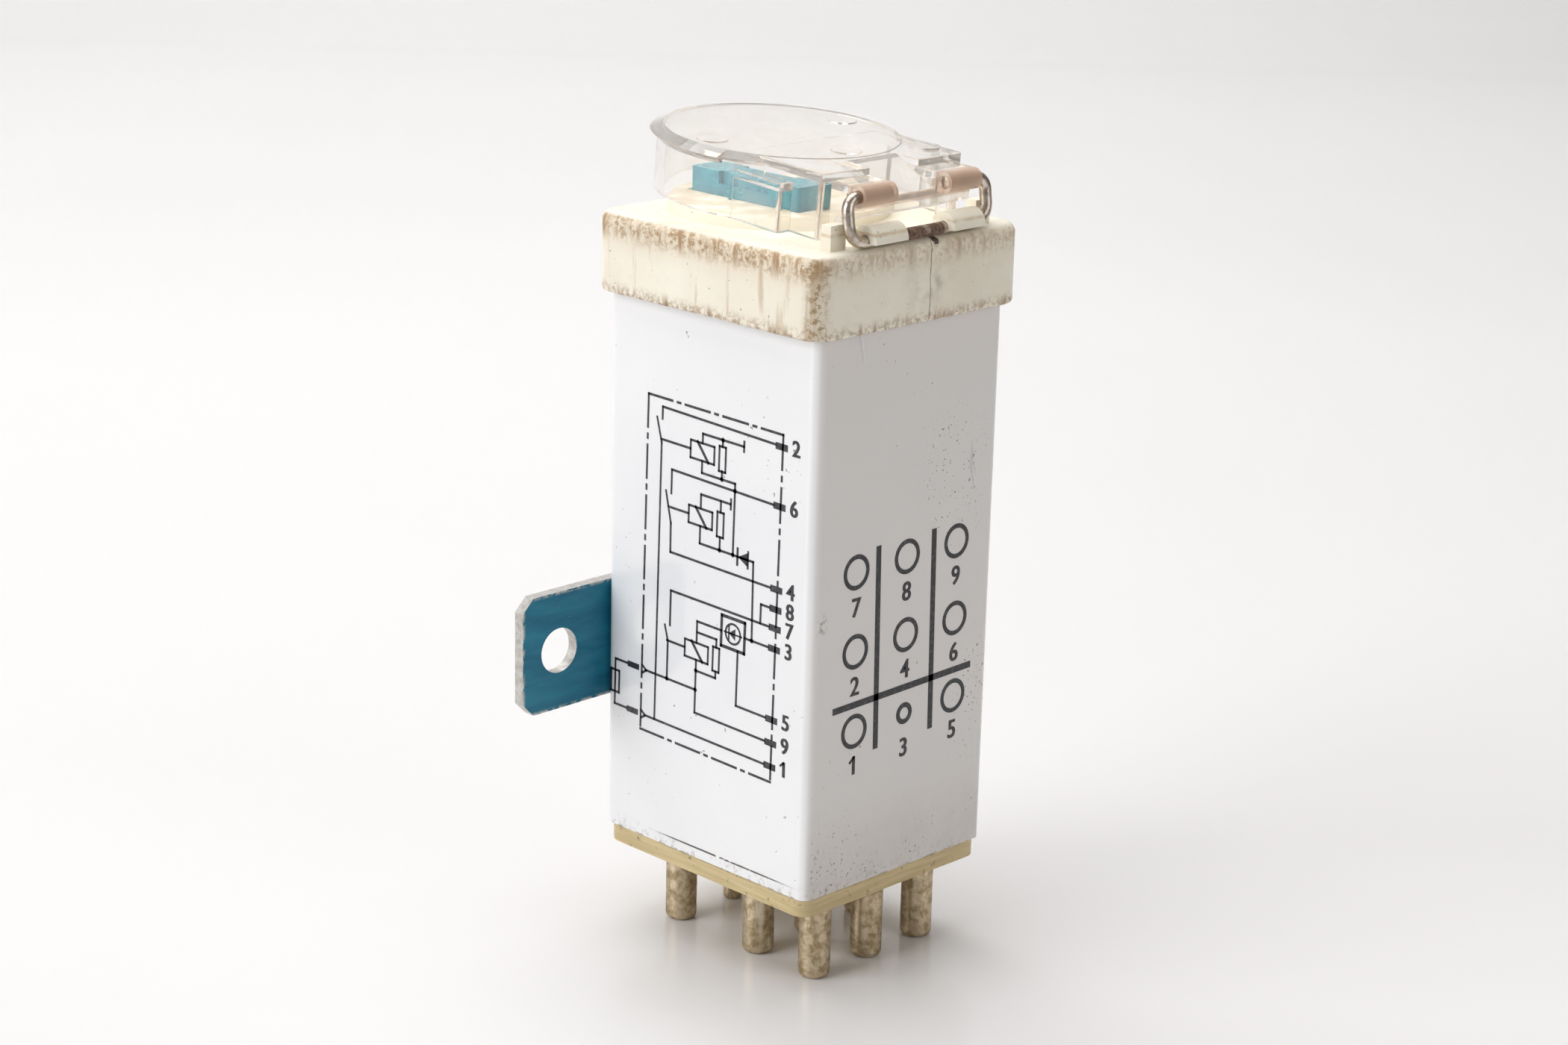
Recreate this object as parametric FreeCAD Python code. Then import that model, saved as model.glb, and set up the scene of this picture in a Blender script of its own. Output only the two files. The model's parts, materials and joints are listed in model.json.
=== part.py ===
"""Plug-in overvoltage relay: tall white metal can on round contact pins, three relays inside, and a
blade fuse under a clear flip-up lid that hangs on a wire bail.

Millimetres, +Z up. The origin is the centre of the base plate's underside: the contact pins hang below
it, the can stands above it. +X is the side with the wire bail, -Y the side the bracket ear points to.
"""
import math
import os

import FreeCAD
import Part

# ---------------------------------------------------------------- driving dimensions
CAN_X, CAN_Y = 36.0, 32.2           # outside of the metal can
CAN_WALL, CAN_CORNER = 0.8, 1.5
CAN_TOP = 79.8                      # hidden inside the cap

BASE_T = 2.4                        # glass-epoxy base plate
BASE_INSET = 0.3                    # base plate edge, inside the can's outside
BASE_CORNER = 2.0
FRAME_H, FRAME_RAIL = 2.0, 2.2      # moulded frame between base plate and pin board
FRAME_RIVET_INSET = 1.58            # rivet centre, in from the can's inner wall
BASE_PLAY, HEAD_ROOM = 0.1, 0.3     # frame and board inside the can, frame round the pin heads
PIN_BOARD_T = 1.6

PIN_R, THIN_PIN_R, PIN_LENGTH = 2.0, 1.25, 10.6
PIN_COLLAR_OVER = 0.4               # collar that fills its hole in the base plate, beyond the shank's radius
PIN_NOSE = 0.35                     # rounding of the pin's end, as a share of its radius
PIN_HEAD_OVER, PIN_HEAD_H = 0.7, 0.8       # riveted head: beyond the shank's radius, and height
TAIL_R, TAIL_OVER = 0.8, 0.8        # solder tail, and how far it stands out of the pin board
TAIL_HOLE_R, SOLDER_R, SOLDER_TOP_R, SOLDER_H = 0.9, 1.5, 0.95, 0.7
BASE_RIVET_R, BASE_RIVET_HEAD_R, BASE_RIVET_SINK = 0.7, 1.4, 0.7
BASE_RIVET_CLOSED_R, BASE_RIVET_CLOSED_H = 1.2, 0.5
INNER_CORNER, FRAME_OPENING_CORNER = 0.9, 0.6
PIN_COLUMNS = (-10.6, 3.5, 13.4)    # uneven, so that the relay only plugs in one way round
PIN_PITCH_Y = 9.3
THIN_PIN = 3
PIN_GRID = {                        # pin number: (column, row)
    1: (0, -1), 3: (0, 0), 5: (0, 1),
    2: (1, -1), 4: (1, 0), 6: (1, 1),
    7: (2, -1), 8: (2, 0), 9: (2, 1),
}

CAP_X, CAP_Y = 38.4, 35.6
CAP_BOTTOM, CAP_TOP = 72.0, 81.9
CAP_CORNER, CAP_EDGE = 3.0, 1.2
CAP_ROOF = 1.9
CAP_GAP = 0.1                       # per side, between cap and can
BOSS_X, BOSS_R, BOSS_H = -5.0, 13.6, 1.8   # round pedestal that the lid closes over

BRACKET_T = 1.5
BRACKET_END_Y, BRACKET_BACK_Y = -29.8, 9.0
BRACKET_Z0, BRACKET_Z1 = 19.4, 34.7
BRACKET_HOLE_Y, BRACKET_HOLE_R = -23.9, 2.9
BRACKET_CLIP = 1.7                  # clipped corners of the ear
BRACKET_RIVET_Y, BRACKET_RIVET_R = (-9.0, 3.0), 1.5
BRACKET_RIVET_HEAD_R, BRACKET_RIVET_SINK = 2.6, 1.0      # flush head, so the ear's back stays flat
BRACKET_RIVET_CLOSED_R, BRACKET_RIVET_CLOSED_H = 2.3, 0.7

FUSE_X, FUSE_Y = BOSS_X, -3.45
FUSE_L, FUSE_W = 19.1, 5.1
FUSE_TOP = CAP_TOP + 4.7
FUSE_HEAD_H, FUSE_BODY_H = 3.9, 11.0
FUSE_WAIST_L, FUSE_WAIST_W = 16.0, 3.8
BLADE_W, BLADE_T, BLADE_REACH, BLADE_CENTRE = 5.2, 0.65, 7.5, 4.7
POCKET_GAP = 0.3

WIRE_R, WIRE_BORE_R = 0.75, 0.80
BAIL_LOW = (18.2, 82.75)            # (x, z) of the bar held by the cap's hooks
BAIL_HIGH = (17.5, 87.9)            # (x, z) of the ends that carry the lid
BAIL_HALF_Y, BAIL_BEND_LOW, BAIL_BEND_HIGH = 11.8, 2.2, 1.6
BAIL_END_Y = 5.0
HOOK_R, HOOK_Y = 1.9, (4.0, 9.4)
STOP_X, STOP_Y, STOP_H = (15.3, 16.9), (11.2, 13.7), 3.0

LID_WALL = 1.1
LID_R, LID_RIM_R, LID_FLAT_R = 15.1, 16.0, 14.4
LID_TOP, LID_BOTTOM = 89.9, CAP_TOP + 0.15     # with the lid pressed shut
LID_AJAR_DEG = 4.5                  # the lid rests this far open
LID_ARM_X, LID_ARM_Y, LID_ARM_TOP = 16.6, 10.4, 89.0            # low ends that carry the tubes
LID_SHOULDER_X, LID_SHOULDER_Y, LID_SHOULDER_TOP = 13.6, 12.0, 89.8
LID_BOX_X, LID_BOX_Y, LID_BOX_TOP = (-0.5, 9.0), 14.0, 87.9
LID_MARK_R, LID_MARK_H = 1.9, 0.12
LID_MARKS = ((-5.2, -11.6), (-5.0, 10.3), (6.5, -0.8), (9.2, 9.9))
LID_VALLEY_Y = 4.2
LID_TUBE_R, LID_TUBE_Y = 1.3, (4.6, 10.0)

MAIN_BOARD_X = (-8.0, -6.4)
MAIN_BOARD_HALF_Y = 14.5
RELAY_Z = {"k2": 17.5, "k1": 37.0, "k3": 56.5}
RELAY_BASE_T, RELAY_HALF_Y, RELAY_HALF_Z = 2.0, 8.0, 9.4
YOKE_T, YOKE_HALF_Y, YOKE_DROP = 1.2, 5.0, 5.2
YOKE_LEG_RISE, YOKE_REACH = 7.2, 17.6      # leg above the coil's axis, and its end off the board
CORE_R, POLE_R, POLE_T, POLE_REACH = 2.0, 3.4, 0.8, 17.0
BOBBIN_R, FLANGE_R, FLANGE_T = 2.7, 5.4, 0.8
COIL_R, COIL_PLAY = 4.9, 0.04
ARMATURE_GAP, ARMATURE_T, ARMATURE_DROP, ARMATURE_RISE = 0.1, 1.2, 4.6, 8.9
LEAF_T, LEAF_HALF_Y, LEAF_DROP = 0.3, 2.6, 9.0
LEAF_OVER_LEG, LEAF_LIFT = 6.0, 0.05       # leaf bent back over the yoke's leg, just clear of the armature
LEAF_RIVET_R, LEAF_RIVET_H, LEAF_RIVET_UP = 0.8, 0.4, (5.0, 1.0)
BUTTON_R, BUTTON_T, BUTTON_DROP = 1.2, 0.6, 7.6
STRIP_T, STRIP_HALF_Y = 1.0, 1.6
CONTACT_GAP = 0.90                  # open contact, just closed when the armature has swung 3 degrees

AXIAL_LIFT, AXIAL_LEG, AXIAL_WIRE_R = 0.6, 1.5, 0.35
RESISTOR_R, RESISTOR_L, RESISTOR_Y = 1.3, 6.5, 8.5
DIODE_R, DIODE_L, DIODE_YZ = 1.1, 5.0, (-10.0, 29.0)
LIMITER_DEPTH, LIMITER_Y, LIMITER_Z = 4.6, (-6.0, 4.0), (37.5, 47.5)
LIMITER_TAB_T, LIMITER_TAB_H, LIMITER_HOLE_R = 1.3, 5.0, 1.7
LIMITER_LEG_X, LIMITER_LEG_Y = (2.2, 2.8), (-3.5, -1.0, 1.5)
LIMITER_LEG_HALF_Y, LIMITER_LEG_H = 0.4, 4.0
CAPACITOR_DEPTH, CAPACITOR_EDGE = 5.2, 0.8
CAPACITOR_Y, CAPACITOR_Z = (-4.0, 5.0), (52.5, 60.5)
WIRE_FOOT, WIRE_BOW, POWER_WIRE_R = (-2.0, 11.0), 2.2, 0.9
WIRE_BENDS = ((1.0, 22.0), (1.5, 48.6))    # (off the foot in x, height) of the bowed part
FUSE_BOARD_Z = (66.6, 67.8)

Y_AXIS = FreeCAD.Vector(0, 1, 0)
X_AXIS = FreeCAD.Vector(1, 0, 0)
Z_AXIS = FreeCAD.Vector(0, 0, 1)
PARTS = {}


# ---------------------------------------------------------------- small shape helpers
def box(x, y, z):
    """Box between pairs of limits."""
    return Part.makeBox(x[1] - x[0], y[1] - y[0], z[1] - z[0], FreeCAD.Vector(x[0], y[0], z[0]))


def rod(radius, start, axis, length):
    return Part.makeCylinder(radius, length, FreeCAD.Vector(*start), axis)


def rod_y(radius, x, z, y):
    """Cylinder along Y between two y limits."""
    return rod(radius, (x, y[0], z), Y_AXIS, y[1] - y[0])


def rounded_box(size_x, size_y, z, corner):
    """Box centred on the Z axis with rounded upright edges."""
    solid = box((-size_x / 2, size_x / 2), (-size_y / 2, size_y / 2), z)
    return solid.makeFillet(corner, upright_edges(solid))


def upright_edges(solid):
    found = []
    for edge in solid.Edges:
        ends = [v.Point for v in edge.Vertexes]
        if len(ends) == 2 and math.hypot(ends[0].x - ends[1].x, ends[0].y - ends[1].y) < 1e-6:
            found.append(edge)
    return found


def level_edges(solid, z):
    """Edges that lie wholly at height z."""
    return [e for e in solid.Edges if abs(e.BoundBox.ZMin - z) < 1e-4 and abs(e.BoundBox.ZMax - z) < 1e-4]


def prism_y(points_xz, y):
    """Prism along Y from a closed outline of (x, z) points."""
    corners = [FreeCAD.Vector(px, y[0], pz) for px, pz in points_xz]
    face = Part.Face(Part.makePolygon(corners + corners[:1]))
    return face.extrude(FreeCAD.Vector(0, y[1] - y[0], 0))


def prism_x(points_yz, x):
    """Prism along X from a closed outline of (y, z) points."""
    corners = [FreeCAD.Vector(x[0], py, pz) for py, pz in points_yz]
    face = Part.Face(Part.makePolygon(corners + corners[:1]))
    return face.extrude(FreeCAD.Vector(x[1] - x[0], 0, 0))


def joined(first, *others):
    return first.fuse(list(others)).removeSplitter()


def without(first, *others):
    for other in others:
        first = first.cut(other)
    return first


def mirrored_y(shape):
    return shape.mirror(FreeCAD.Vector(0, 0, 0), Y_AXIS)


def group(*solids):
    return Part.makeCompound([s for shape in solids for s in shape.Solids])


def pipe(path_edges, radius):
    """Round wire swept along a chain of edges."""
    wire = Part.Wire(path_edges)
    start = wire.Edges[0]
    point = start.valueAt(start.FirstParameter)
    tangent = start.tangentAt(start.FirstParameter)
    section = Part.Wire([Part.makeCircle(radius, point, tangent)])
    return wire.makePipeShell([section], True, True)


def arc(start, middle, end):
    return Part.Arc(FreeCAD.Vector(*start), FreeCAD.Vector(*middle), FreeCAD.Vector(*end)).toShape()


def line(start, end):
    return Part.makeLine(FreeCAD.Vector(*start), FreeCAD.Vector(*end))


# ---------------------------------------------------------------- base, pins and can
def pin_place(number):
    column, row = PIN_GRID[number]
    return PIN_COLUMNS[column], row * PIN_PITCH_Y


def pin_radius(number):
    return THIN_PIN_R if number == THIN_PIN else PIN_R


def pin_collar(number):
    """The length of pin that fills its hole in the base plate."""
    return rod(pin_radius(number) + PIN_COLLAR_OVER, (*pin_place(number), 0), Z_AXIS, BASE_T)


def contact_pin(number):
    """Turned pin: round-nosed shank, collar in the plate, riveted head above it, solder tail."""
    x, y = pin_place(number)
    radius = pin_radius(number)
    shank = rod(radius, (x, y, -PIN_LENGTH), Z_AXIS, PIN_LENGTH)
    shank = shank.makeFillet(radius * PIN_NOSE, level_edges(shank, -PIN_LENGTH))
    head_top = BASE_T + PIN_HEAD_H
    tail_top = BASE_T + FRAME_H + PIN_BOARD_T + TAIL_OVER
    return joined(
        shank,
        pin_collar(number),
        rod(radius + PIN_HEAD_OVER, (x, y, BASE_T), Z_AXIS, PIN_HEAD_H),
        rod(TAIL_R, (x, y, head_top), Z_AXIS, tail_top - head_top),
    )


def frame_corners():
    half_x = CAN_X / 2 - CAN_WALL - FRAME_RIVET_INSET
    half_y = CAN_Y / 2 - CAN_WALL - FRAME_RIVET_INSET
    return [(sx * half_x, sy * half_y) for sx in (-1, 1) for sy in (-1, 1)]


def base_rivets(top):
    """Four rivets that hold plate, frame and pin board together, and the holes they need."""
    rivets, holes = [], []
    for x, y in frame_corners():
        head = Part.makeCone(BASE_RIVET_HEAD_R, BASE_RIVET_R, BASE_RIVET_SINK, FreeCAD.Vector(x, y, 0))
        body = joined(head, rod(BASE_RIVET_R, (x, y, 0), Z_AXIS, top))
        holes.append(body)
        rivets.append(joined(body, rod(BASE_RIVET_CLOSED_R, (x, y, top), Z_AXIS, BASE_RIVET_CLOSED_H)))
    PARTS["base_rivets"] = group(*rivets)
    return holes


def base_assembly():
    inner_x, inner_y = CAN_X - 2 * CAN_WALL - BASE_PLAY, CAN_Y - 2 * CAN_WALL - BASE_PLAY
    frame_z = (BASE_T, BASE_T + FRAME_H)
    board_z = (frame_z[1], frame_z[1] + PIN_BOARD_T)
    rivet_holes = base_rivets(board_z[1])

    plate = rounded_box(CAN_X - 2 * BASE_INSET, CAN_Y - 2 * BASE_INSET, (0, BASE_T), BASE_CORNER)
    PARTS["base_plate"] = without(plate, *[pin_collar(n) for n in PIN_GRID], *rivet_holes)

    rail = rounded_box(inner_x, inner_y, frame_z, INNER_CORNER)
    opening = rounded_box(
        inner_x - 2 * FRAME_RAIL, inner_y - 2 * FRAME_RAIL, frame_z, FRAME_OPENING_CORNER
    )
    room_r = PIN_R + PIN_HEAD_OVER + HEAD_ROOM
    head_room = [rod(room_r, (*pin_place(n), frame_z[0]), Z_AXIS, FRAME_H) for n in PIN_GRID]
    PARTS["base_frame"] = without(rail, opening, *rivet_holes, *head_room)

    board = rounded_box(inner_x, inner_y, board_z, INNER_CORNER)
    tails = [rod(TAIL_HOLE_R, (*pin_place(n), board_z[0]), Z_AXIS, PIN_BOARD_T) for n in PIN_GRID]
    PARTS["pin_board"] = without(board, *tails, *rivet_holes)

    cones = []
    for number in PIN_GRID:
        PARTS[f"contact_pin_{number}"] = contact_pin(number)
        foot = (*pin_place(number), board_z[1])
        cone = Part.makeCone(SOLDER_R, SOLDER_TOP_R, SOLDER_H, FreeCAD.Vector(*foot))
        cones.append(cone.cut(rod(TAIL_R, foot, Z_AXIS, SOLDER_H)))
    PARTS["solder_joints"] = group(*cones)


def bracket_rivets(outside, face, z):
    """Two flush rivets through the ear and the can's wall, and the holes they need."""
    rivets, holes = [], []
    for y in BRACKET_RIVET_Y:
        head = Part.makeCone(
            BRACKET_RIVET_HEAD_R, BRACKET_RIVET_R, BRACKET_RIVET_SINK, FreeCAD.Vector(outside, y, z), X_AXIS
        )
        body = joined(head, rod(BRACKET_RIVET_R, (outside, y, z), X_AXIS, BRACKET_T + CAN_WALL))
        holes.append(body)
        closed = rod(BRACKET_RIVET_CLOSED_R, (face + CAN_WALL, y, z), X_AXIS, BRACKET_RIVET_CLOSED_H)
        rivets.append(joined(body, closed))
    PARTS["bracket_rivets"] = group(*rivets)
    return holes


def can_assembly():
    outer = rounded_box(CAN_X, CAN_Y, (BASE_T, CAN_TOP), CAN_CORNER)
    inner = rounded_box(
        CAN_X - 2 * CAN_WALL, CAN_Y - 2 * CAN_WALL, (BASE_T, CAN_TOP), CAN_CORNER - CAN_WALL
    )
    face = -CAN_X / 2
    outside = face - BRACKET_T
    middle_z = (BRACKET_Z0 + BRACKET_Z1) / 2
    rivet_holes = bracket_rivets(outside, face, middle_z)
    PARTS["metal_can"] = without(outer, inner, *rivet_holes)

    clip = BRACKET_CLIP
    outline = [
        (BRACKET_BACK_Y, BRACKET_Z0), (BRACKET_BACK_Y, BRACKET_Z1),
        (BRACKET_END_Y + clip, BRACKET_Z1), (BRACKET_END_Y, BRACKET_Z1 - clip),
        (BRACKET_END_Y, BRACKET_Z0 + clip), (BRACKET_END_Y + clip, BRACKET_Z0),
    ]
    ear = prism_x(outline, (outside, face))
    hole = rod(BRACKET_HOLE_R, (outside, BRACKET_HOLE_Y, middle_z), X_AXIS, BRACKET_T)
    PARTS["bracket"] = without(ear, hole, *rivet_holes)


# ---------------------------------------------------------------- cap, fuse and its clips
def hook():
    """Hood over the bail's lower bar, open towards the front below the bar's centre."""
    x, z = BAIL_LOW
    hood = joined(
        rod_y(HOOK_R, x, z, HOOK_Y),
        box((x - HOOK_R, x), HOOK_Y, (CAP_TOP - 0.2, z)),
    )
    channel = rod_y(WIRE_BORE_R, x, z, (HOOK_Y[0] - 1, HOOK_Y[1] + 1))
    mouth = box((x, x + 4), (HOOK_Y[0] - 1, HOOK_Y[1] + 1), (CAP_TOP - 4, z - 0.15))
    foot = box((x - WIRE_BORE_R, x), (HOOK_Y[0] - 1, HOOK_Y[1] + 1), (CAP_TOP, z))
    below = box((x - 5, x + 5), (HOOK_Y[0] - 1, HOOK_Y[1] + 1), (CAP_TOP - 4, CAP_TOP - 0.2))
    return without(hood, channel, mouth, foot, below)


def cap():
    shell = rounded_box(CAP_X, CAP_Y, (CAP_BOTTOM, CAP_TOP), CAP_CORNER)
    shell = shell.makeFillet(CAP_EDGE, level_edges(shell, CAP_TOP))
    shell = shell.makeFillet(0.5, level_edges(shell, CAP_BOTTOM))
    cavity = rounded_box(
        CAN_X + 2 * CAP_GAP, CAN_Y + 2 * CAP_GAP, (CAP_BOTTOM - 1, CAP_TOP - CAP_ROOF), CAN_CORNER + CAP_GAP
    )
    boss_top = CAP_TOP + BOSS_H
    boss = rod(BOSS_R, (BOSS_X, 0, CAP_TOP - 0.5), Z_AXIS, BOSS_H + 0.5)
    boss = boss.makeFillet(0.4, level_edges(boss, boss_top))
    fuse_bottom = FUSE_TOP - FUSE_BODY_H
    shoulder = FUSE_TOP - FUSE_HEAD_H - 0.1
    holder = box(
        (FUSE_X - 11.4, FUSE_X + 11.4), (FUSE_Y - 4.3, FUSE_Y + 4.3), (fuse_bottom - 1.4, CAP_TOP - 0.5)
    )
    head_pocket = fuse_box(FUSE_L + 2 * POCKET_GAP, FUSE_W + 2 * POCKET_GAP, (shoulder, boss_top + 1))
    waist_pocket = fuse_box(
        FUSE_WAIST_L + 2 * POCKET_GAP, FUSE_WAIST_W + 2 * POCKET_GAP, (fuse_bottom - 0.1, shoulder + 0.1)
    )
    slots = [
        box(
            (FUSE_X + s * BLADE_CENTRE - 3.0, FUSE_X + s * BLADE_CENTRE + 3.0),
            (FUSE_Y - 0.6, FUSE_Y + 0.6),
            (fuse_bottom - 3, fuse_bottom + 1),
        )
        for s in (-1, 1)
    ]
    hooks = [hook(), mirrored_y(hook())]
    stop = prism_y(
        [(STOP_X[0] - 0.2, CAP_TOP - 0.3), (STOP_X[1], CAP_TOP - 0.3),
         (STOP_X[1], CAP_TOP + STOP_H), (STOP_X[0] + 0.1, CAP_TOP + STOP_H)],
        STOP_Y,
    )
    body = joined(shell.cut(cavity), boss, holder, *hooks, stop, mirrored_y(stop))
    PARTS["cap"] = without(body, head_pocket, waist_pocket, *slots)


def fuse_box(length, width, z):
    return box((FUSE_X - length / 2, FUSE_X + length / 2), (FUSE_Y - width / 2, FUSE_Y + width / 2), z)


def fuse():
    bottom = FUSE_TOP - FUSE_BODY_H
    head = fuse_box(FUSE_L, FUSE_W, (FUSE_TOP - FUSE_HEAD_H, FUSE_TOP))
    head = head.makeFillet(0.5, upright_edges(head))
    grip = fuse_box(9.0, FUSE_W + 2, (FUSE_TOP - 1.5, FUSE_TOP + 1))
    grip = grip.cut(fuse_box(10.0, FUSE_W - 1.4, (FUSE_TOP - 3, FUSE_TOP + 2)))
    waist = fuse_box(FUSE_WAIST_L, FUSE_WAIST_W, (bottom, FUSE_TOP - FUSE_HEAD_H))
    waist = waist.makeFillet(0.5, upright_edges(waist))

    blade_top = FUSE_TOP - 2.6
    blades = []
    for side in (-1, 1):
        x = FUSE_X + side * BLADE_CENTRE
        outline = [
            (x - BLADE_W / 2, blade_top), (x - BLADE_W / 2, bottom - BLADE_REACH + 0.9),
            (x - BLADE_W / 2 + 0.9, bottom - BLADE_REACH), (x + BLADE_W / 2 - 0.9, bottom - BLADE_REACH),
            (x + BLADE_W / 2, bottom - BLADE_REACH + 0.9), (x + BLADE_W / 2, blade_top),
        ]
        blades.append(prism_y(outline, (FUSE_Y - BLADE_T / 2, FUSE_Y + BLADE_T / 2)))
    link_reach = BLADE_CENTRE - BLADE_W / 2
    link = fuse_box(2 * link_reach + 1.0, 0.3, (blade_top - 1.2, blade_top - 0.2))
    metal = joined(blades[0], blades[1], link)
    PARTS["fuse_blades"] = metal
    PARTS["fuse_body"] = joined(head.cut(grip), waist).cut(metal)


def fuse_clip(side):
    """Spring fork that grips one fuse blade and is soldered to the fuse board."""
    x = FUSE_X + side * BLADE_CENTRE
    width = (x - 2.4, x + 2.4)
    foot_z, mouth_z = FUSE_BOARD_Z[1], FUSE_TOP - FUSE_BODY_H - 1.6
    half_gap, leaf = BLADE_T / 2 + 0.02, 0.5
    outline = [
        (-1.6, foot_z), (1.6, foot_z), (1.6, foot_z + 2.6), (half_gap + leaf, foot_z + 3.6),
        (half_gap + leaf, mouth_z - 0.8), (half_gap + leaf + 0.4, mouth_z),
        (half_gap + 0.4, mouth_z), (half_gap, mouth_z - 0.8), (half_gap, foot_z + 3.4),
        (1.1, foot_z + 2.4), (1.1, foot_z + 0.4),
        (-1.1, foot_z + 0.4), (-1.1, foot_z + 2.4), (-half_gap, foot_z + 3.4),
        (-half_gap, mouth_z - 0.8), (-half_gap - 0.4, mouth_z), (-half_gap - leaf - 0.4, mouth_z),
        (-half_gap - leaf, mouth_z - 0.8), (-half_gap - leaf, foot_z + 3.6), (-1.6, foot_z + 2.6),
    ]
    blade_tip = FUSE_TOP - FUSE_BODY_H - BLADE_REACH
    fork = prism_x([(FUSE_Y + y, z) for y, z in outline], width)
    return fork.cut(box((x - 3, x + 3), (FUSE_Y - half_gap, FUSE_Y + half_gap), (blade_tip - 0.2, mouth_z)))


def fuse_support():
    PARTS["fuse_clip_left"] = fuse_clip(-1)
    PARTS["fuse_clip_right"] = fuse_clip(1)
    PARTS["fuse_board"] = box((-16.6, 12.0), (-14.5, 14.5), FUSE_BOARD_Z)


# ---------------------------------------------------------------- lid and wire bail
def bail_point(height, y):
    """Point on the bail's plane: height along the line from the lower bar to the upper ends."""
    reach = math.hypot(BAIL_HIGH[0] - BAIL_LOW[0], BAIL_HIGH[1] - BAIL_LOW[1])
    share = height / reach
    x = BAIL_LOW[0] + share * (BAIL_HIGH[0] - BAIL_LOW[0])
    z = BAIL_LOW[1] + share * (BAIL_HIGH[1] - BAIL_LOW[1])
    return x, y, z


def bail():
    """Closed-looking loop of spring wire whose two upper ends point inwards along one line."""
    reach = math.hypot(BAIL_HIGH[0] - BAIL_LOW[0], BAIL_HIGH[1] - BAIL_LOW[1])
    low, high, half = BAIL_BEND_LOW, BAIL_BEND_HIGH, BAIL_HALF_Y
    near = 1 - math.cos(math.pi / 4)

    def side(sign):
        end = line(bail_point(reach, sign * BAIL_END_Y), bail_point(reach, sign * (half - high)))
        top = arc(
            bail_point(reach, sign * (half - high)),
            bail_point(reach - high * near, sign * (half - high * near)),
            bail_point(reach - high, sign * half),
        )
        arm = line(bail_point(reach - high, sign * half), bail_point(low, sign * half))
        bottom = arc(
            bail_point(low, sign * half),
            bail_point(low * near, sign * (half - low * near)),
            bail_point(0, sign * (half - low)),
        )
        return [end, top, arm, bottom]

    left, right = side(-1), side(1)
    bar = line(bail_point(0, -(half - low)), bail_point(0, half - low))
    PARTS["bail"] = pipe(left + [bar] + right[::-1], WIRE_R)


def lid_rim():
    """Bevelled finger rim round the free end of the lid's top."""
    lower = Part.makeCone(LID_R, LID_RIM_R, 0.8, FreeCAD.Vector(BOSS_X, 0, LID_TOP - 1.6))
    upper = Part.makeCone(LID_RIM_R, LID_FLAT_R, 0.8, FreeCAD.Vector(BOSS_X, 0, LID_TOP - 0.8))
    free_end = box((BOSS_X - 20, LID_BOX_X[0]), (-20, 20), (LID_TOP - 3, LID_TOP + 1))
    return lower.fuse(upper).common(free_end)


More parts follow.
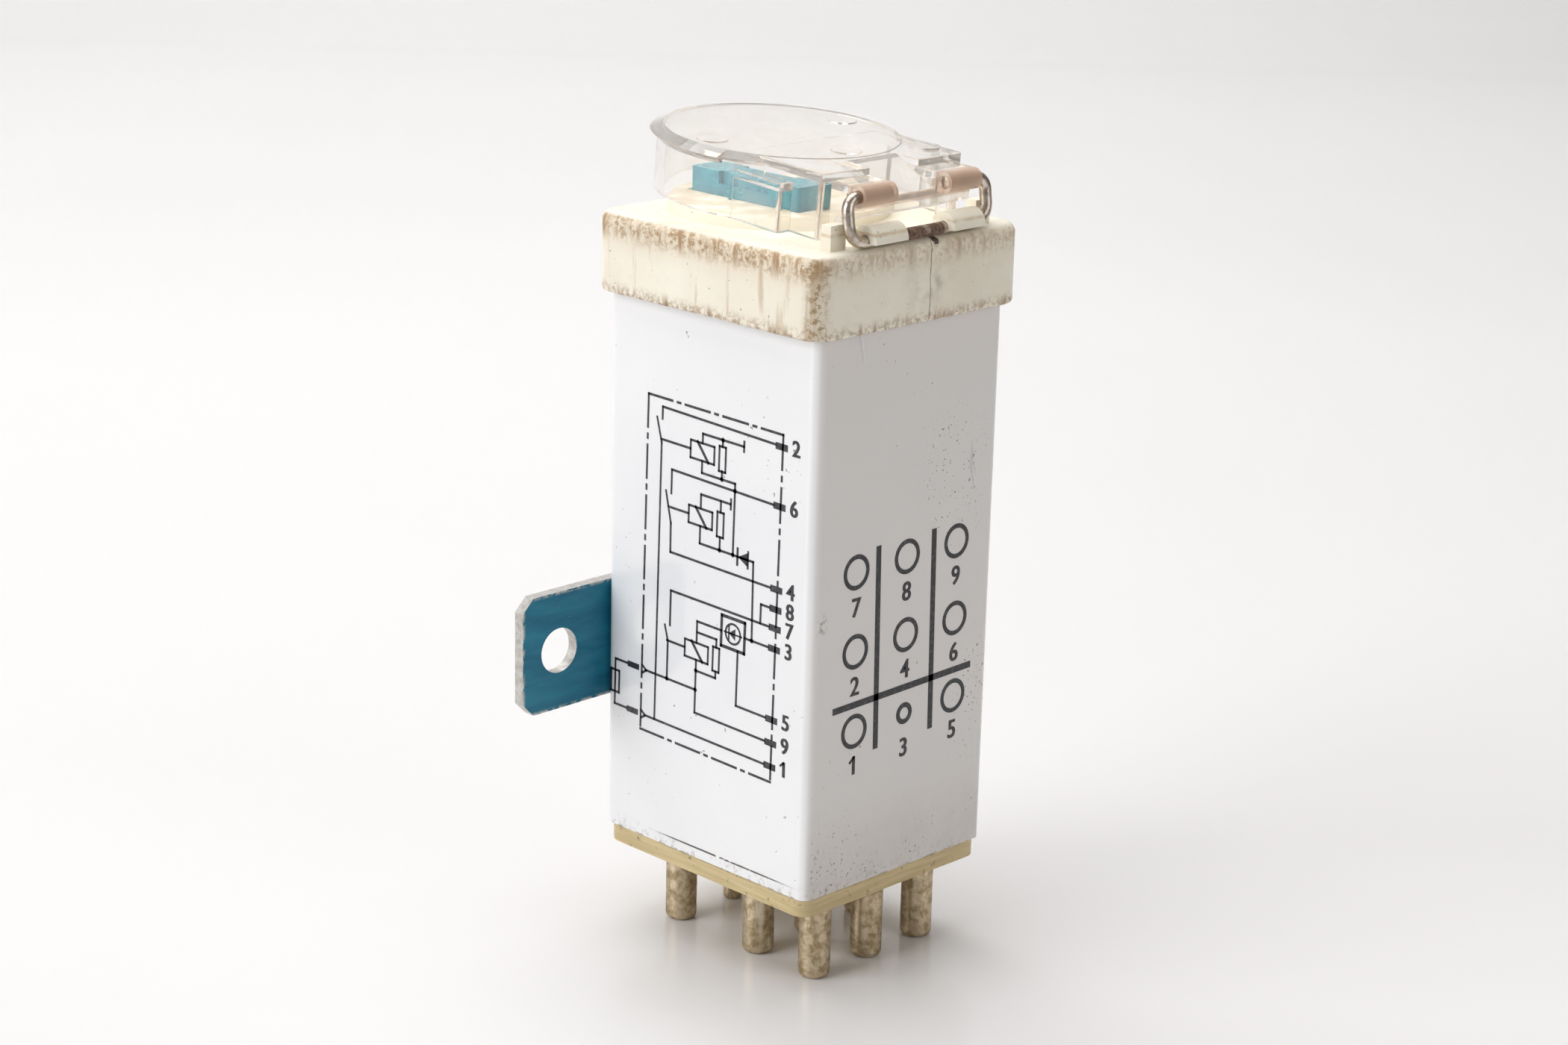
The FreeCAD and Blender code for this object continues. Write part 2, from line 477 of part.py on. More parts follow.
def lid():
    z = (LID_BOTTOM, LID_TOP)
    drum = rod(LID_R, (BOSS_X, 0, z[0]), Z_AXIS, LID_TOP - 0.8 - z[0])
    crown = Part.makeCone(LID_R, LID_FLAT_R, 0.8, FreeCAD.Vector(BOSS_X, 0, LID_TOP - 0.8))
    arms = box((0, LID_ARM_X), (-LID_ARM_Y, LID_ARM_Y), (z[0], LID_ARM_TOP))
    shoulders = box((0, LID_SHOULDER_X), (-LID_SHOULDER_Y, LID_SHOULDER_Y), (z[0], LID_SHOULDER_TOP))
    shoulders = shoulders.makeFillet(0.5, [e for e in upright_edges(shoulders) if e.BoundBox.XMin > 5])
    boxes = box(LID_BOX_X, (-LID_BOX_Y, LID_BOX_Y), (z[0], LID_BOX_TOP))
    corners = [e for e in upright_edges(boxes) if e.BoundBox.XMin > 5]
    boxes = boxes.makeFillet(0.6, corners)

    valley_start, valley_end = (LID_FLAT_R + BOSS_X + 0.2, LID_TOP), (LID_ARM_X, 86.9)
    valley = prism_y(
        [valley_start, valley_end, (LID_ARM_X + 2, 86.9), (LID_ARM_X + 2, LID_TOP + 1),
         (valley_start[0], LID_TOP + 1)],
        (-LID_VALLEY_Y, LID_VALLEY_Y),
    )
    roof = LID_WALL * 1.15
    valley_roof = prism_y(
        [(valley_start[0] - 3, LID_TOP + 0.2), (valley_start[0] - 3, LID_TOP - roof),
         (valley_start[0], valley_start[1] - roof), (valley_end[0], valley_end[1] - roof),
         (LID_ARM_X + 2, valley_end[1] - roof), (LID_ARM_X + 2, LID_TOP + 1)],
        (-LID_VALLEY_Y - LID_WALL, LID_VALLEY_Y + LID_WALL),
    )
    low = z[0] - 1
    hollow_drum = rod(LID_R - LID_WALL, (BOSS_X, 0, low), Z_AXIS, LID_TOP - 1.3 - low)
    hollow_arms = box(
        (0, LID_ARM_X - LID_WALL),
        (-LID_ARM_Y + LID_WALL, LID_ARM_Y - LID_WALL),
        (low, LID_ARM_TOP - LID_WALL),
    ).cut(valley_roof)
    hollow_shoulders = box(
        (0, LID_SHOULDER_X - LID_WALL),
        (-LID_SHOULDER_Y + LID_WALL, LID_SHOULDER_Y - LID_WALL),
        (low, LID_SHOULDER_TOP - LID_WALL),
    ).cut(valley_roof)
    hollow_boxes = box(
        (LID_BOX_X[0] + LID_WALL, LID_BOX_X[1] - LID_WALL),
        (-LID_BOX_Y + LID_WALL, LID_BOX_Y - LID_WALL),
        (low, LID_BOX_TOP - LID_WALL),
    )
    tubes, bores = [], []
    hinge_x, hinge_z = BAIL_HIGH
    for sign in (-1, 1):
        y = sorted(sign * v for v in LID_TUBE_Y)
        tube = rod_y(LID_TUBE_R, hinge_x, hinge_z, y)
        web = box((LID_ARM_X - 0.4, hinge_x), y, (hinge_z - LID_TUBE_R, hinge_z + LID_TUBE_R * 0.85))
        tubes += [tube, web]
        bores.append(rod_y(WIRE_BORE_R, hinge_x, hinge_z, (min(y) - 0.01, max(y) + 0.01)))
    hook_room = box((14.6, LID_ARM_X + 0.5), (-12, 12), (z[0] - 1, 85.0))

    marks = [rod(LID_MARK_R, (x, y, LID_TOP - 0.3), Z_AXIS, 0.3 + LID_MARK_H) for x, y in LID_MARKS]
    outside = joined(drum, crown, lid_rim(), arms, shoulders, boxes, *tubes)
    hollows = (hollow_drum, hollow_arms, hollow_shoulders, hollow_boxes)
    shut = joined(without(outside, valley, *hollows, *bores, hook_room), *marks)
    shut.rotate(FreeCAD.Vector(hinge_x, 0, hinge_z), Y_AXIS, LID_AJAR_DEG)
    PARTS["lid"] = shut


# ---------------------------------------------------------------- relays and other parts inside the can
def relay(name, z):
    """Open-frame relay on the main board: coil along X, armature hinged on the end of the yoke's leg."""
    board = MAIN_BOARD_X[1]
    foot = (board + RELAY_BASE_T, board + RELAY_BASE_T + YOKE_T)
    PARTS[f"relay_base_{name}"] = box(
        (board, foot[0]), (-RELAY_HALF_Y, RELAY_HALF_Y), (z - RELAY_HALF_Z, z + RELAY_HALF_Z)
    )
    relay_magnet(name, z, foot, board + POLE_REACH)
    relay_contacts(name, z, foot[0], board + YOKE_REACH)


def relay_magnet(name, z, foot, pole):
    shank = rod(CORE_R, (foot[0], 0, z), X_AXIS, pole - foot[0])
    PARTS[f"core_{name}"] = joined(shank, rod(POLE_R, (pole - POLE_T, 0, z), X_AXIS, POLE_T))

    leg_z = (z + YOKE_LEG_RISE, z + YOKE_LEG_RISE + YOKE_T)
    leg_end = MAIN_BOARD_X[1] + YOKE_REACH
    upright = box(foot, (-YOKE_HALF_Y, YOKE_HALF_Y), (z - YOKE_DROP, leg_z[1]))
    leg = box((foot[0], leg_end), (-YOKE_HALF_Y, YOKE_HALF_Y), leg_z)
    PARTS[f"yoke_{name}"] = joined(upright, leg).cut(shank)

    start, end = foot[1], pole - POLE_T
    bobbin = joined(
        rod(BOBBIN_R, (start, 0, z), X_AXIS, end - start),
        rod(FLANGE_R, (start, 0, z), X_AXIS, FLANGE_T),
        rod(FLANGE_R, (end - FLANGE_T, 0, z), X_AXIS, FLANGE_T),
    )
    PARTS[f"bobbin_{name}"] = bobbin.cut(rod(CORE_R + COIL_PLAY, (start, 0, z), X_AXIS, end - start))
    wound = (start + FLANGE_T + COIL_PLAY, end - FLANGE_T - COIL_PLAY)
    winding = rod(COIL_R, (wound[0], 0, z), X_AXIS, wound[1] - wound[0])
    PARTS[f"coil_{name}"] = winding.cut(rod(BOBBIN_R + COIL_PLAY, (start, 0, z), X_AXIS, end - start))


def relay_contacts(name, z, base_face, leg_end):
    """Armature, the leaf riveted to it with its contact button, and the fixed contact opposite."""
    plate = (leg_end + ARMATURE_GAP, leg_end + ARMATURE_GAP + ARMATURE_T)
    leaf = (plate[1], plate[1] + LEAF_T)
    half_y = (-LEAF_HALF_Y, LEAF_HALF_Y)
    top = z + ARMATURE_RISE
    PARTS[f"armature_{name}"] = box(plate, (-YOKE_HALF_Y, YOKE_HALF_Y), (z - ARMATURE_DROP, top))
    button_z = z - BUTTON_DROP
    PARTS[f"contact_spring_{name}"] = joined(
        box(leaf, half_y, (z - LEAF_DROP, top + LEAF_T)),
        box((leg_end - LEAF_OVER_LEG, leaf[1]), half_y, (top + LEAF_LIFT, top + LEAF_T)),
        rod(BUTTON_R, (plate[1] - BUTTON_T, 0, button_z), X_AXIS, BUTTON_T),
        *[rod(LEAF_RIVET_R, (leaf[1], 0, z + up), X_AXIS, LEAF_RIVET_H) for up in LEAF_RIVET_UP],
    )
    button = plate[1] - BUTTON_T - CONTACT_GAP
    PARTS[f"fixed_contact_{name}"] = joined(
        box((base_face, button - BUTTON_T), (-STRIP_HALF_Y, STRIP_HALF_Y),
            (button_z - STRIP_T / 2, button_z + STRIP_T / 2)),
        rod(BUTTON_R, (button - BUTTON_T, 0, button_z), X_AXIS, BUTTON_T),
    )


def axial_part(radius, length, y, z):
    """Round component lying along Z off the back of the main board, with bent wire legs."""
    back = MAIN_BOARD_X[0]
    x = back - radius - AXIAL_LIFT
    legs = []
    for sign in (-1, 1):
        tip = z + sign * (length / 2 + AXIAL_LEG)
        inner = min(tip, z + sign * length / 2)
        legs.append(rod(AXIAL_WIRE_R, (x, y, inner), Z_AXIS, AXIAL_LEG))
        bent = (x - AXIAL_WIRE_R, y, tip - sign * AXIAL_WIRE_R)
        legs.append(rod(AXIAL_WIRE_R, bent, X_AXIS, back - bent[0]))
    return joined(rod(radius, (x, y, z - length / 2), Z_AXIS, length), *legs)


def surge_limiter():
    """Power semiconductor on the board's back: body, drilled tab above it, three legs below."""
    back = MAIN_BOARD_X[0]
    z0, z1 = LIMITER_Z
    tab = box((back - LIMITER_TAB_T, back), LIMITER_Y, (z1, z1 + LIMITER_TAB_H))
    legs = [
        box((back - LIMITER_LEG_X[1], back - LIMITER_LEG_X[0]),
            (y - LIMITER_LEG_HALF_Y, y + LIMITER_LEG_HALF_Y), (z0 - LIMITER_LEG_H, z0))
        for y in LIMITER_LEG_Y
    ]
    middle = (LIMITER_Y[0] + LIMITER_Y[1]) / 2
    hole = rod(
        LIMITER_HOLE_R, (back - LIMITER_TAB_T, middle, z1 + LIMITER_TAB_H / 2), X_AXIS, LIMITER_TAB_T
    )
    body = box((back - LIMITER_DEPTH, back), LIMITER_Y, LIMITER_Z)
    PARTS["surge_limiter"] = joined(body, tab, *legs).cut(hole)


def power_wires(bottom):
    """Thick wires that carry the current between the pin board and the fuse board."""
    for name, sign in (("feed_wire", -1), ("load_wire", 1)):
        y = sign * WIRE_FOOT[1]
        bowed = y + sign * WIRE_BOW
        foot = FreeCAD.Vector(WIRE_FOOT[0], y, bottom)
        top = FreeCAD.Vector(WIRE_FOOT[0], y, FUSE_BOARD_Z[0])
        between = [FreeCAD.Vector(WIRE_FOOT[0] + out, bowed, z) for out, z in WIRE_BENDS]
        route = Part.BSplineCurve()
        route.interpolate(Points=[foot, *between, top], InitialTangent=Z_AXIS, FinalTangent=Z_AXIS)
        PARTS[name] = pipe([route.toShape()], POWER_WIRE_R)


def board_parts():
    bottom = BASE_T + FRAME_H + PIN_BOARD_T
    back = MAIN_BOARD_X[0]
    PARTS["main_board"] = box(
        MAIN_BOARD_X, (-MAIN_BOARD_HALF_Y, MAIN_BOARD_HALF_Y), (bottom, FUSE_BOARD_Z[0])
    )
    for name, z in RELAY_Z.items():
        relay(name, z)
        PARTS[f"resistor_{name}"] = axial_part(RESISTOR_R, RESISTOR_L, RESISTOR_Y, z)
    PARTS["diode"] = axial_part(DIODE_R, DIODE_L, *DIODE_YZ)
    surge_limiter()
    capacitor = box((back - CAPACITOR_DEPTH, back), CAPACITOR_Y, CAPACITOR_Z)
    outer_edges = [e for e in capacitor.Edges if e.BoundBox.XMax < back]
    PARTS["capacitor"] = capacitor.makeFillet(CAPACITOR_EDGE, outer_edges)
    power_wires(bottom)


def main():
    base_assembly()
    can_assembly()
    cap()
    fuse()
    fuse_support()
    bail()
    lid()
    board_parts()
    os.makedirs("parts", exist_ok=True)
    for node, shape in PARTS.items():
        problem = "" if shape.isValid() and all(s.isClosed() for s in shape.Solids) else "  NOT VALID"
        print(f"{node:22s} solids {len(shape.Solids):2d}  volume {shape.Volume:9.2f}{problem}")
        shape.exportStep(os.path.join("parts", f"{node}.step"))


main()
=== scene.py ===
"""Looks for the plug-in relay: materials, printed marks, grime, studio floor, light and camera.

Metres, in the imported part's own frame. Small helpers take millimetres and convert.
"""
import json
import math

import bmesh
import bpy
from mathutils import Matrix, Vector


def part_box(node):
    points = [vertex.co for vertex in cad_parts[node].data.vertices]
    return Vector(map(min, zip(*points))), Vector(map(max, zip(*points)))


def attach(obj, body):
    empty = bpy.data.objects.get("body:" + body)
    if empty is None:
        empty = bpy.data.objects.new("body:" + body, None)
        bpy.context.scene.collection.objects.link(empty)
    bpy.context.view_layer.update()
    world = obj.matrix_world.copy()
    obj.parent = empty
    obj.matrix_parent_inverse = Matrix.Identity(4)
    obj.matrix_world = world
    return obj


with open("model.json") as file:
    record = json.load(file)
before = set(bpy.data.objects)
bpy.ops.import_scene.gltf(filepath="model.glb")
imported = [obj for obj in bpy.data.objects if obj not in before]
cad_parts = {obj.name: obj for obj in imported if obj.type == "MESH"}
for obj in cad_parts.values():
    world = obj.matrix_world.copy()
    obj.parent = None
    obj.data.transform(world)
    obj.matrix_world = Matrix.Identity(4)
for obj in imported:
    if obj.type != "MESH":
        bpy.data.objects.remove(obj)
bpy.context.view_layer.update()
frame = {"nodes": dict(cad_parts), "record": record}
NODES = frame["nodes"]

MM = 0.001
CAN_LEFT_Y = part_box("metal_can")[0].y / MM     # printed left face of the can
CAN_FRONT_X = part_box("metal_can")[1].x / MM    # printed right face of the can
INK_THICKNESS = 0.03


# ---------------------------------------------------------------- node-tree helpers
class Shader:
    """Short way to write a node tree."""

    def __init__(self, name):
        self.material = bpy.data.materials.new(name)
        self.material.use_nodes = True
        self.tree = self.material.node_tree
        self.surface = self.tree.nodes["Principled BSDF"]
        self.coords = self.add("ShaderNodeTexCoord").outputs["Object"]
        self.output = self.tree.nodes["Material Output"]

    def add(self, kind, **settings):
        node = self.tree.nodes.new(kind)
        for key, value in settings.items():
            setattr(node, key, value)
        return node

    def link(self, source, target):
        if isinstance(source, (int, float)):
            target.default_value = source
        elif isinstance(source, tuple):
            target.default_value = (*source, 1.0) if len(source) == 3 else source
        else:
            self.tree.links.new(source, target)

    def put(self, **inputs):
        for key, value in inputs.items():
            self.link(value, self.surface.inputs[key.replace("_", " ")])

    def stretched(self, x, y, z):
        node = self.add("ShaderNodeVectorMath", operation="MULTIPLY")
        self.link(self.coords, node.inputs[0])
        node.inputs[1].default_value = (x, y, z)
        return node.outputs[0]

    def noise(self, per_mm, detail=4.0, rough=0.55, vector=None, distort=0.0):
        node = self.add("ShaderNodeTexNoise")
        self.link(vector or self.coords, node.inputs["Vector"])
        node.inputs["Scale"].default_value = per_mm * 1000
        node.inputs["Detail"].default_value = detail
        node.inputs["Roughness"].default_value = rough
        node.inputs["Distortion"].default_value = distort
        return node.outputs["Fac"]

    def span(self, value, low, high, out_low=0.0, out_high=1.0):
        node = self.add("ShaderNodeMapRange", interpolation_type="SMOOTHSTEP")
        self.link(value, node.inputs["Value"])
        node.inputs["From Min"].default_value = low
        node.inputs["From Max"].default_value = high
        node.inputs["To Min"].default_value = out_low
        node.inputs["To Max"].default_value = out_high
        return node.outputs[0]

    def math(self, operation, a, b=0.0):
        node = self.add("ShaderNodeMath", operation=operation)
        self.link(a, node.inputs[0])
        self.link(b, node.inputs[1])
        return node.outputs[0]

    def times(self, a, b):
        return self.math("MULTIPLY", a, b)

    def axis(self, letter, source=None):
        node = self.add("ShaderNodeSeparateXYZ")
        self.link(source or self.coords, node.inputs[0])
        return node.outputs["XYZ".index(letter)]

    def normal(self, letter):
        geometry = self.add("ShaderNodeNewGeometry")
        return self.axis(letter, geometry.outputs["Normal"])

    def mix(self, factor, a, b):
        node = self.add("ShaderNodeMix", data_type="RGBA")
        self.link(factor, node.inputs[0])
        self.link(a, node.inputs[6])
        self.link(b, node.inputs[7])
        return node.outputs[2]

    def near(self, letter, place_mm, width_mm):
        """1 at the place, fading to 0 at width_mm away from it."""
        away = self.math("ABSOLUTE", self.math("SUBTRACT", self.axis(letter), place_mm * MM))
        return self.span(away, 0.0, width_mm * MM, 1.0, 0.0)

    def edge_wear(self, radius_mm):
        """1 on sharp outer edges."""
        bevel = self.add("ShaderNodeBevel", samples=6)
        bevel.inputs["Radius"].default_value = radius_mm * MM
        geometry = self.add("ShaderNodeNewGeometry")
        dot = self.add("ShaderNodeVectorMath", operation="DOT_PRODUCT")
        self.link(bevel.outputs[0], dot.inputs[0])
        self.link(geometry.outputs["Normal"], dot.inputs[1])
        return self.span(dot.outputs["Value"], 0.80, 0.995, 1.0, 0.0)

    def bump(self, height, strength, distance_mm):
        node = self.add("ShaderNodeBump")
        node.inputs["Strength"].default_value = strength
        node.inputs["Distance"].default_value = distance_mm * MM
        self.link(height, node.inputs["Height"])
        self.link(node.outputs[0], self.surface.inputs["Normal"])


def speckled(name, base, other, per_mm, rough=(0.35, 0.5), metallic=0.0, bump=0.0, low=0.35, high=0.65):
    """General finish: two tones mixed by noise, roughness that varies with the same noise."""
    s = Shader(name)
    grain = s.noise(per_mm)
    s.put(
        Base_Color=s.mix(s.span(grain, low, high), base, other),
        Metallic=metallic,
        Roughness=s.span(grain, low, high, *rough),
    )
    if bump:
        s.bump(grain, bump, 0.1)
    return s.material


# ---------------------------------------------------------------- materials
def lacquer():
    """Glossy white lacquer: faint orange peel, specks, scuffs by the lower edge, chips on the corners;
    painted shade on the +X face and a painted blue reflection of the bracket on the left face.
    """
    s = Shader("white_lacquer")
    cloud = s.noise(0.03, 2.0)
    tone = s.span(cloud, 0.3, 0.7)
    white = s.mix(tone, (0.77, 0.775, 0.79), (0.83, 0.83, 0.835))
    right = s.span(s.normal("X"), 0.6, 0.95)
    left = s.span(s.normal("Y"), -0.6, -0.95)
    # painted shade: the whole +X face is tinted darker, standing in for the side that faces away from the key
    # light
    white = s.mix(s.times(right, 0.8), white, (0.68, 0.655, 0.635))
    # painted reflection: a blue patch on the glossy left face where it mirrors the blue bracket
    painted_blue_reflection = s.times(s.near("X", -19.0, 7.0), s.near("Z", 33.5, 9.0))
    painted_blue_reflection = s.times(s.times(painted_blue_reflection, left), 0.30)
    white = s.mix(painted_blue_reflection, white, (0.42, 0.60, 0.74))
    specks = s.span(s.noise(1.4, 1.5, 0.5), 0.735, 0.76)
    sparse = s.span(s.noise(0.09, 2.0), 0.50, 0.60)
    white = s.mix(s.times(s.times(specks, sparse), 0.7), white, (0.16, 0.12, 0.09))
    dust = s.times(s.span(s.noise(2.6, 2.0, 0.5), 0.66, 0.70), right)
    upper = s.times(s.near("Z", 52.0, 12.0), s.near("Y", 8.0, 8.0))
    lower = s.times(s.near("Z", 22.0, 12.0), s.near("Y", 13.0, 5.0))
    dust = s.times(dust, s.math("MAXIMUM", upper, lower))
    white = s.mix(s.times(dust, 1.6), white, (0.12, 0.09, 0.07))
    low = s.times(s.near("Z", 2.4, 2.2), s.span(s.noise(1.1, 6.0, 0.7), 0.50, 0.66))
    white = s.mix(s.times(low, 0.5), white, (0.30, 0.26, 0.22))
    score = s.times(s.near("Z", 3.7, 0.17), s.span(s.noise(0.28, 5.0, 0.6), 0.36, 0.46))
    score = s.times(s.times(score, left), s.near("X", 3.5, 15.0))
    white = s.mix(s.span(score, 0.0, 0.35), white, (0.07, 0.06, 0.05))
    soil = s.times(s.times(s.near("Z", 3.0, 13.0), right), s.noise(0.25, 6.0, 0.7))
    white = s.mix(s.times(soil, 0.55), white, (0.42, 0.36, 0.30))
    grit = s.times(s.span(s.noise(1.9, 3.0, 0.6), 0.62, 0.67), s.near("Z", 4.0, 12.0))
    grit = s.times(s.times(grit, right), s.span(s.noise(0.15, 3.0), 0.42, 0.60))
    white = s.mix(grit, white, (0.13, 0.10, 0.08))
    smudge = s.times(s.near("Y", -14.3, 1.3), s.near("Z", 37.3, 1.9))
    smudge = s.times(smudge, s.span(s.noise(1.6, 4.0, 0.6), 0.46, 0.62))
    white = s.mix(s.times(s.times(smudge, right), 0.9), white, (0.25, 0.23, 0.22))
    wear = s.times(s.edge_wear(0.45), s.span(s.noise(0.55, 5.0), 0.54, 0.60))
    white = s.mix(s.times(wear, 0.85), white, (0.16, 0.14, 0.13))
    s.put(
        Base_Color=white, Roughness=s.span(cloud, 0.3, 0.7, 0.12, 0.18),
        Coat_Weight=0.6, Coat_Roughness=0.05,
    )
    s.bump(s.noise(0.45, 2.0, 0.4), 0.05, 0.05)
    return s.material


def ivory():
    """Aged cap plastic: brown grime along its edges and in streaks, a cracked seam on the right face."""
    s = Shader("ivory_plastic")
    cloud = s.noise(0.08, 5.0)
    base = s.mix(s.span(cloud, 0.35, 0.65), (0.79, 0.735, 0.61), (0.86, 0.82, 0.71))
    patch = s.span(s.noise(0.16, 5.0, 0.6), 0.50, 0.72)
    base = s.mix(s.times(patch, 0.35), base, (0.66, 0.55, 0.40))
    side = s.span(s.axis("Z"), 0.0819, 0.0814)
    left = s.span(s.normal("Y"), -0.2, -0.8)
    right = s.span(s.normal("X"), 0.2, 0.8)
    streak = s.span(s.noise(0.62, 6.0, 0.62, s.stretched(1.0, 1.0, 0.14)), 0.47, 0.66)
    fine = s.span(s.noise(1.5, 6.0, 0.7), 0.42, 0.62)
    mottle = s.math("MAXIMUM", streak, s.times(fine, 0.8))
    strength = s.math("ADD", 0.45, s.times(left, 0.55))
    upper = s.times(s.near("Z", 80.6, 2.6), strength)
    lower = s.times(s.near("Z", 72.0, 2.0), 0.8)
    grime = s.times(s.times(s.math("MAXIMUM", upper, lower), side), mottle)
    base = s.mix(s.math("MINIMUM", s.times(grime, 1.3), 0.95), base, (0.26, 0.135, 0.05))
    veil = s.times(s.times(s.near("Z", 81.0, 5.0), side), 0.35)
    base = s.mix(s.times(veil, strength), base, (0.54, 0.38, 0.20))
    runs = s.span(s.noise(0.5, 5.0, 0.6, s.stretched(1.0, 1.0, 0.09)), 0.57, 0.70)
    runs = s.times(s.times(runs, side), left)
    base = s.mix(s.times(runs, 0.5), base, (0.40, 0.26, 0.13))
    corner = s.times(s.near("X", 18.6, 2.6), s.near("Y", -17.4, 2.6))
    corner = s.times(s.times(corner, side), s.math("MAXIMUM", fine, 0.35))
    base = s.mix(s.times(corner, 1.2), base, (0.33, 0.23, 0.12))
    far = s.times(s.times(s.near("Y", 17.2, 1.3), right), fine)
    base = s.mix(s.times(far, 0.8), base, (0.33, 0.22, 0.12))
    shade = s.times(s.times(s.near("Y", 1.0, 5.5), s.near("Z", 77.0, 4.5)), right)
    shade = s.times(shade, s.span(s.noise(0.35, 5.0, 0.6), 0.42, 0.66))
    base = s.mix(s.times(shade, 0.75), base, (0.42, 0.36, 0.32))
    wander = s.times(s.math("SUBTRACT", s.noise(0.16, 3.0), 0.5), 0.0022)
    seam_y = s.math("SUBTRACT", s.math("ADD", s.axis("Y"), wander), 0.0012)
    seam = s.span(s.math("ABSOLUTE", seam_y), 0.00003, 0.00011, 0.9, 0.0)
    seam = s.times(s.times(seam, right), side)
    base = s.mix(seam, base, (0.09, 0.06, 0.045))
    chip = s.times(s.near("Y", 2.0, 1.1), s.near("Z", 81.6, 0.9))
    chip = s.span(s.times(chip, s.noise(1.6, 5.0, 0.7)), 0.20, 0.27)
    base = s.mix(s.times(chip, s.span(s.axis("X"), 0.016, 0.017)), base, (0.08, 0.06, 0.05))
    boss = s.times(s.near("Z", 83.7, 0.35), s.span(s.noise(0.3, 5.0), 0.3, 0.6))
    base = s.mix(s.times(boss, 0.8), base, (0.55, 0.43, 0.28))
    dots = s.span(s.noise(1.9, 2.0, 0.4), 0.735, 0.76)
    base = s.mix(s.times(dots, 0.7), base, (0.20, 0.13, 0.08))
    s.put(
        Base_Color=base, Roughness=s.span(cloud, 0.3, 0.7, 0.42, 0.58),
        Subsurface_Weight=0.12, Subsurface_Scale=0.003,
    )
    s.surface.inputs["Subsurface Radius"].default_value = (1.0, 0.8, 0.5)
    s.bump(s.math("SUBTRACT", s.noise(0.9, 5.0, 0.6), seam), 0.14, 0.12)
    return s.material


def board_edge():
    """Glass-epoxy board: fibre lines along the cut edge, dark nicks, dirt under the can."""
    s = Shader("epoxy_board")
    layers = s.noise(0.5, 4.0, 0.6, s.stretched(0.2, 0.2, 4.0))
    base = s.mix(s.span(layers, 0.35, 0.65), (0.62, 0.495, 0.275), (0.50, 0.395, 0.205))
    nicks = s.span(s.noise(0.8, 4.0, 0.6), 0.62, 0.70)
    base = s.mix(s.times(nicks, 0.7), base, (0.14, 0.11, 0.05))
    rim = s.times(s.near("Z", 2.4, 0.5), s.span(s.noise(0.4, 5.0), 0.42, 0.58))
    base = s.mix(s.times(rim, 0.8), base, (0.18, 0.15, 0.09))
    s.put(Base_Color=base, Roughness=s.span(layers, 0.3, 0.7, 0.42, 0.62))
    s.bump(layers, 0.15, 0.08)
    return s.material


def pin_metal():
    """Tarnished nickel pins: blotchy grey-gold film, rubbed along the pin by its socket."""
    s = Shader("pin_metal")
    blotch = s.noise(0.8, 6.0, 0.68)
    base = s.mix(s.span(blotch, 0.36, 0.66), (0.66, 0.55, 0.385), (0.36, 0.27, 0.15))
    fine = s.noise(1.6, 6.0, 0.7, s.stretched(1.0, 1.0, 0.35))
    base = s.mix(s.span(fine, 0.52, 0.72, 0.0, 0.7), base, (0.20, 0.15, 0.085))
    rubbed = s.span(s.noise(0.8, 4.0, 0.6, s.stretched(1.0, 1.0, 0.12)), 0.58, 0.70)
    base = s.mix(s.times(rubbed, 0.6), base, (0.70, 0.64, 0.52))
    s.put(Base_Color=base, Metallic=0.85, Roughness=s.span(blotch, 0.3, 0.7, 0.30, 0.52))
    s.bump(s.math("ADD", s.times(blotch, 0.5), fine), 0.25, 0.08)
    return s.material


def wire_steel():
    """Plated spring wire, dark and dull, rust-brown on the bar between the hooks."""
    s = Shader("wire_steel")
    spots = s.noise(0.7, 5.0, 0.6)
    steel = s.mix(s.span(spots, 0.40, 0.68), (0.66, 0.59, 0.52), (0.34, 0.27, 0.21))
    bar = s.times(s.span(s.axis("Z"), 0.0838, 0.0835), s.near("Y", 0.0, 4.6))
    bar = s.span(bar, 0.02, 0.2)
    rust = s.times(bar, s.span(s.noise(0.8, 5.0, 0.6), 0.26, 0.42))
    scattered = s.span(s.noise(0.5, 6.0, 0.7), 0.58, 0.70)
    rust = s.math("MAXIMUM", rust, s.times(scattered, 0.8))
    brown = s.mix(s.span(s.noise(2.0, 4.0), 0.4, 0.6), (0.085, 0.045, 0.03), (0.19, 0.115, 0.08))
    s.put(
        Base_Color=s.mix(rust, steel, brown),
        Metallic=s.math("SUBTRACT", 1.0, s.times(rust, 0.75)),
        Roughness=s.math("ADD", 0.24, s.times(rust, 0.38)),
    )
    s.bump(s.math("ADD", spots, rust), 0.25, 0.06)
    return s.material


